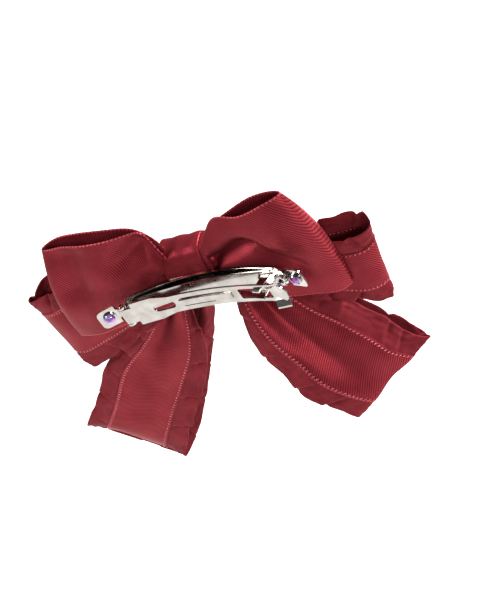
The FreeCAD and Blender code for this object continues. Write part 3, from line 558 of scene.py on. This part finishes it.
# Ruffled loops, 39 mm wide in all: a satin band with a pleated trim sewn under each edge.
ruffleLoops = {
    "upper_left": {
        "start": (-13.5, 12.85, -4), "angle": 170, "pitch": 0, "tilt": 0, "width": 39,
        "firstEdge": [
            (-2, 0, -5), (12, -0.5, -11), (28, -1, -15.5), (45, -1.2, -16.3), (55, -0.6, -15.6),
            (59.5, 2.2, -15), (54, 5.2, -18), (46, 5, -19.5), (28, 3.5, -15), (12, 2, -10), (-2, 1.5, -5),
        ],
        "secondEdge": [
            (-2, 0, 5), (12, -0.5, 11), (28, -1, 16), (45, -1.5, 20), (57, -1, 22),
            (62, 1.2, 20), (57, 5, 22), (45, 5, 21), (28, 3.5, 16), (12, 2, 11), (-2, 1.5, 5),
        ],
        "seams": (0.2, 0.8),
        "foldPoint": 5, "nearCrown": 1.0, "farCrown": 0.8, "foldCrown": 0.6,
        "gathers": 4, "phase": 1.4, "gatherDepth": 1.5, "trimWave": 0.9,
        "valleys": [((8, 26), (24, 30), 2.2, 1.6), ((6, 38), (20, 37), 2.0, 1.4)],
        "ridges": 1.6, "ridge": 0.6, "ridgeReach": 26, "ridgeShift": 0.2,
        "tucks": {"first": (12, 27, 41, 56, 70, 84, 100), "second": (9, 22, 36, 50, 66, 81, 97)},
    },
    "upper_right": {
        "start": (4.9, 12.85, -2), "angle": 11, "pitch": 0, "tilt": 0, "width": 39,
        "firstEdge": [
            (-2, 0, -6), (12, -0.5, -12), (28, -1, -17.5), (45, -1.5, -20.5), (52.5, -0.6, -20.4),
            (55, 2, -20.2), (51, 4.8, -20), (42, 5, -19.5), (28, 3.5, -16), (12, 2, -11), (-2, 1.5, -5),
        ],
        "secondEdge": [
            (-2, 0, 5), (12, -0.5, 8), (28, -1, 9.5), (41, -1.7, 10), (50, -1.2, 10.8),
            (54.7, 2.2, 13.5), (51, 5, 17.2), (42, 5, 15), (28, 3.5, 12), (12, 2, 9), (-2, 1.5, 5),
        ],
        "seams": (0.2, 0.8),
        "foldPoint": 5, "nearCrown": 1.2, "farCrown": 0.8, "foldCrown": 0.0,
        "gathers": 4, "phase": 3.1, "gatherDepth": 1.8, "valleys": [], "trimWave": 1.0,
        "ridges": 1.8, "ridge": 0.6, "ridgeReach": 26, "ridgeShift": 0.5,
        "tucks": {"first": (10, 25, 38, 47, 62, 77, 92), "second": (13, 26, 41, 55, 68, 84)},
    },
    "lower_left": {
        "start": (-17.4, 17.2, -6.5), "angle": 128, "pitch": 0, "tilt": 0, "width": 39,
        "firstEdge": [
            (-2, 0, -5), (14, -1.5, -6), (29, -3, -9), (40, -3.5, -13), (55, -3.5, -18.2), (75, -3.5, -18.5),
            (91, -2.5, -20), (96.9, 0, -19.9), (90, 3.5, -19), (70, 4, -17.5), (45, 3.5, -14), (20, 2.5, -9),
            (-2, 1.5, -5),
        ],
        "secondEdge": [
            (-2, 0, 4), (12, -1.5, 7.5), (24, -3, 13.5), (36, -3.3, 17.3), (55, -3.5, 18.4), (75, -3.7, 17.6),
            (95, -2.7, 18.0), (101.7, 0, 19.4), (94, 3.8, 20.8), (72, 4, 20.8), (45, 4, 18.4), (19, 3, 16),
            (-2, 1.5, 10),
        ],
        "seams": (0.19, 0.8),
        "foldPoint": 7, "nearCrown": 0.8, "farCrown": 0.8, "foldCrown": -2.0,
        "gathers": 4, "phase": 0.2, "gatherDepth": 1.5, "valleys": [], "trimWave": 0.4,
        "ridges": 2.1, "ridge": 2.6, "ridgeReach": 36, "ridgeShift": 0.7,
        "tucks": {
            "first": (20, 36, 48, 62, 78, 94, 112, 130, 148, 166),
            "second": (12, 30, 47, 66, 84, 101, 118, 140, 160),
        },
    },
    "lower_right": {
        "start": (9.9, 17.2, -8.5), "angle": 57, "pitch": 9.5, "tilt": -30, "width": 39,
        "firstEdge": [
            (-2, 0, -7), (3, -1.5, -12.5), (12, -3, -18.8), (21, -3.5, -23), (31, -4, -24.7), (43, -4, -27),
            (55, -3, -24.7), (63.3, 0, -22.3), (56, 3.5, -23), (42, 4, -24), (25, 3.5, -20), (10, 2.5, -14),
            (-2, 1.5, -7),
        ],
        "secondEdge": [
            (-2, 0, 3), (5, -1.5, 4), (16, -3, 6.5), (28, -3.3, 8.6), (37, -3.7, 11.3), (48, -4, 13.5),
            (58, -2.5, 13), (65.7, 0, 15.7), (58, 3.5, 15.2), (45, 4, 13.5), (28, 3.5, 11), (10, 2.5, 7),
            (-2, 1.5, 3),
        ],
        "seams": (0.19, 0.79),
        "foldPoint": 7, "nearCrown": 0.8, "farCrown": 0.8, "foldCrown": 0.0,
        "gathers": 4, "phase": 4.0, "gatherDepth": 1.5, "valleys": [], "trimWave": 0.5,
        "ridges": 1.9, "ridge": 3.6, "ridgeReach": 42, "ridgeShift": 0.6,
        "tucks": {"first": (6, 17, 34, 49, 60, 76, 92, 108), "second": (10, 29, 38, 56, 62, 74, 90, 106)},
    },
}


pleat = {
    "rise": 0.75, "step": 1.6, "slit": 0.6, "slitWidth": 0.8, "lean": 4, "endReach": 15,
    "waviness": 0.08, "waveSize": 7, "tuckShare": 0.5, "crinkle": 0.4, "crinkleSize": 4,
    "crinklesAcross": 6,
}
# spread sets how differently the two trims of a loop wave; freeBy is how fast they leave the seam
trim = {
    "width": 7.5, "thickness": 0.3, "columns": 16, "underlap": 0.02, "under": 0.3,
    "spread": 3.1, "freeBy": 1.6,
}


def pleatRise(tucks, along):
    # each pleat rises slowly from under the last one, then drops over a short step
    before = max([place for place in tucks if place <= along], default=tucks[0] - pleat["endReach"])
    after = min([place for place in tucks if place > along], default=tucks[-1] + pleat["endReach"])
    rise = min((along - before) / (after - before - pleat["step"]), (after - along) / pleat["step"])
    slit = math.exp(-(min(along - before, after - along) / pleat["slitWidth"]) ** 2)
    return max(rise, 0) - pleat["slit"] * slit


def makeTrim(name, loop, rows, side, node):
    first = side == "first"
    seam = loop["seams"][0 if first else 1]
    rim = 0 if first else 1
    # the trim starts a little inside the seam, under the band
    inner = seam + (trim["underlap"] if first else -trim["underlap"])
    phase = loop["phase"]

    def placeAt(row, across):
        # across runs from the first edge to the second, so the rim is at 0 or at 1
        outwards = 1 - across if first else across
        along = row["along"]
        rise = pleatRise(loop["tucks"][side], along + pleat["lean"] * outwards)
        wave = noise.noise(Vector((along / pleat["waveSize"], trim["spread"] * seam, phase)))
        wave += pleat["tuckShare"] * (rise - 0.5)
        spot = inner + (rim - inner) * outwards * (1 + pleat["waviness"] * wave)
        crease = (along / pleat["crinkleSize"], pleat["crinklesAcross"] * outwards, phase)
        crinkle = noise.noise(Vector(crease))
        lift = pleat["rise"] * rise + pleat["crinkle"] * crinkle + loop["trimWave"] * wave
        return ribbonPlace(loop, row, spot, lift * min(outwards * trim["freeBy"], 1) - trim["under"])

    piece = strip(name, rows, trim["columns"], placeAt, taffeta, trim["thickness"], trim["width"])
    return belongs(piece, node)


stitch = {
    "pitch": 1.5, "length": 1.05, "width": 0.46, "height": 0.34, "slant": 55, "unevenness": 8,
    "inset": 0.025, "start": 6, "above": 0.06, "below": -0.45,
}


def makeGrain():
    # one stitch, made once and copied
    bm = bmesh.new()
    halves = [stitch[size] / 2 for size in ("length", "width", "height")]
    bmesh.ops.create_uvsphere(
        bm, u_segments=6, v_segments=4, radius=mm, matrix=Matrix.Diagonal((*halves, 1)),
    )
    mesh = bpy.data.meshes.new("stitch")
    bm.to_mesh(mesh)
    bm.free()
    return mesh


def makeStitching(name, loop, rows, grain, node):
    # the thread shows on both faces of the seam
    bm = bmesh.new()
    for seam in (loop["seams"][0] + stitch["inset"], loop["seams"][1] - stitch["inset"]):
        travelled = stitch["start"]
        for row in rows:
            if not travelled < row["along"] < row["length"] - stitch["start"]:
                continue
            travelled = row["along"] + stitch["pitch"]
            turn = Matrix((row["ahead"], row["across"], row["outward"])).transposed().to_4x4()
            slant = stitch["slant"] + random.uniform(-stitch["unevenness"], stitch["unevenness"])
            lean = Matrix.Rotation(math.radians(slant), 4, "Z")
            for lift in (stitch["above"], stitch["below"]):
                copy = grain.copy()
                copy.transform(Matrix.Translation(ribbonPlace(loop, row, seam, lift)) @ turn @ lean)
                bm.from_mesh(copy)
                bpy.data.meshes.remove(copy)
    return belongs(finishMesh(bm, name, thread), node)


def makeRuffleLoops():
    random.seed(7)
    grain = makeGrain()
    for key, loop in ruffleLoops.items():
        level, side = key.split("_")
        title = level.capitalize() + side.capitalize()
        rows = ribbonRows(loop)
        band = makeBand(
            "ruffleLoop" + title, loop, rows, "ruffle_loop_" + key, ribbon["bandColumns"], *loop["seams"],
        )
        # a left loop's first edge is its upper one, a right loop's its lower one
        names = ("upper", "lower") if side == "left" else ("lower", "upper")
        trims = [
            makeTrim(name + "Trim" + title, loop, rows, edge, name + "_trim_" + key)
            for name, edge in zip(names, ("first", "second"))
        ]
        stitches = makeStitching("stitching" + title, loop, rows, grain, "stitching_" + key)


makeSatinLoops()
makeRuffleLoops()


# ---- the middle: pinched ends, and the ribbon wrapped twice round them

knot = {"depthPlace": 12.9, "halfDepth": 5.5, "halfHeight": 12, "squareness": 0.62, "meanRadius": 11.5}
# flat is the cut ribbon, across and along, in metres; grow is how far it lies outside the knot
wrap = {
    "middle": -5, "width": 16, "flat": (0.016, 0.072), "grow": 1.5, "thickness": 0.45, "cuts": (120, 30),
    "edge": 0.2, "edgeSharpness": 6, "fold": 0.14, "folds": 4.5, "sway": 0.8,
    "uneven": 0.15, "unevenAcross": 3, "unevenRound": 1.5,
}
under = {
    "middle": -2.8, "width": 16, "flat": (0.016, 0.068), "grow": 0.7, "thickness": 0.3, "cuts": (96, 16),
    "fold": 0.12, "folds": 3,
}
bundle = {
    "middle": -5, "width": 21, "grow": 0, "thickness": 0, "cuts": (120, 12),
    "inset": 0.7, "pleatDepth": 0.6, "pleats": 9, "pinch": 2.5, "pinchFrom": 0.9,
}


def ovalSection(angle, halfDepth, halfHeight):
    # a rounded oblong, depth along Y and height along Z
    depthShare, heightShare = math.cos(angle), math.sin(angle)
    return (
        math.copysign(abs(depthShare) ** knot["squareness"], depthShare) * halfDepth,
        math.copysign(abs(heightShare) ** knot["squareness"], heightShare) * halfHeight,
    )


def makeSleeve(name, sleeve, wrinkle, node, closed=False):
    # a tube round the knot; share runs from -0.5 to 0.5 across the ribbon
    around, along = sleeve["cuts"]
    bm = bmesh.new()
    cloth = bm.loops.layers.uv.new("cloth")
    bmesh.ops.create_cone(bm, cap_ends=closed, cap_tris=False, segments=around, radius1=1, radius2=1, depth=1)
    lengthwise = [edge for edge in bm.edges if abs(edge.verts[0].co.z - edge.verts[1].co.z) > 0.5]
    bmesh.ops.subdivide_edges(bm, edges=lengthwise, cuts=along, use_grid_fill=True)
    places = {vertex: (math.atan2(vertex.co.y, vertex.co.x), vertex.co.z) for vertex in bm.verts}
    for face in bm.faces:
        angles = [places[corner.vert][0] for corner in face.loops]
        overSeam = max(angles) - min(angles) > math.pi
        for corner in face.loops:
            angle, share = places[corner.vert]
            angle += 2 * math.pi if overSeam and angle < 0 else 0
            # mapped to the middle of the ribbon, clear of its woven edges
            corner[cloth].uv = (angle * knot["meanRadius"], satinWidth / 2 + share * sleeve["width"])
    for vertex, (angle, share) in places.items():
        outside = sleeve["grow"] + wrinkle(angle, share)
        y, z = ovalSection(angle, knot["halfDepth"] + outside, knot["halfHeight"] + outside)
        x = sleeve["middle"] + share * sleeve["width"]
        vertex.co = Vector((x, knot["depthPlace"] + y, z)) * mm
    piece = finishMesh(bm, name, satin, recalculate=True)
    if sleeve["thickness"]:
        thicken(piece, sleeve["thickness"])
    return belongs(piece, node)


def wrapWrinkle(angle, share):
    # shallow folds along the ribbon, its edges pulled in, and a little chance
    edge = wrap["edge"] * (2 * abs(share)) ** wrap["edgeSharpness"]
    folds = wrap["fold"] * math.cos(wrap["folds"] * math.pi * share + wrap["sway"] * math.sin(angle))
    size = wrap["unevenRound"]
    spot = Vector((share * wrap["unevenAcross"], math.cos(angle) * size, math.sin(angle) * size))
    return folds - edge + wrap["uneven"] * noise.noise(spot)


def underWrinkle(angle, share):
    return under["fold"] * math.cos(under["folds"] * math.pi * share + math.sin(angle))


def bundleWrinkle(angle, share):
    # pleats pinched together, pulled in at the ends
    pleats = bundle["pleatDepth"] * abs(math.sin(bundle["pleats"] * angle))
    pinch = bundle["pinch"] * max(2 * abs(share) - bundle["pinchFrom"], 0)
    return -bundle["inset"] - pleats - pinch


centreWrap = makeSleeve("centreWrap", wrap, wrapWrinkle, "centre_wrap")
underLayer = makeSleeve("wrapUnderLayer", under, underWrinkle, "wrap_under_layer")
makeSleeve("gatheredEnds", bundle, bundleWrinkle, "gathered_ends", closed=True)
print("middle wrapped")


# ---- floor and light

floorPlace = {"size": 6, "height": -0.32}
# each light's place is how far it stands to the right of, above and in front of the bow
lights = {
    "leftLight": {"place": (-1.0, 0.1, 0.3), "size": 0.4, "power": 12},
    "topLight": {"place": (0.5, 0.95, 0.25), "size": 0.35, "power": 35},
    "frontLight": {"place": (0.45, -0.1, 1.0), "size": 0.25, "power": 7},
}
worldStrength = 0.22


# Matt white paper, faintly self-lit so that it stays white.
def addFloor():
    bm = bmesh.new()
    bmesh.ops.create_grid(bm, x_segments=1, y_segments=1, size=floorPlace["size"])
    for vertex in bm.verts:
        vertex.co.z = floorPlace["height"]
    paper, tree, shader = newMaterial("mattWhitePaper", {
        "Base Color": linear("#FFFFFF"), "Roughness": 0.9, "Specular IOR Level": 0.1,
        "Emission Color": linear("#FFFFFF"), "Emission Strength": 0.1,
    })
    finishMesh(bm, "floor", paper)


def addLight(name, light):
    data = bpy.data.lights.new(name, "AREA")
    data.shape = "SQUARE"
    data.size = light["size"]
    data.energy = light["power"]
    lamp = bpy.data.objects.new(name, data)
    bpy.context.scene.collection.objects.link(lamp)
    right, up, outwards = light["place"]
    place = viewRight * right + viewUp * up + viewBack * outwards
    lamp.matrix_world = Matrix.Translation(place) @ place.to_track_quat("Z", "Y").to_matrix().to_4x4()


def addWorld():
    world = bpy.data.worlds.new("studio")
    bpy.context.scene.world = world
    world.use_nodes = True
    background = world.node_tree.nodes["Background"]
    background.inputs["Color"].default_value = linear("#FFFFFF")
    background.inputs["Strength"].default_value = worldStrength


addFloor()
addWorld()
for name, light in lights.items():
    addLight(name, light)
bpy.context.scene.view_settings.view_transform = "Standard"
print("stage lit")
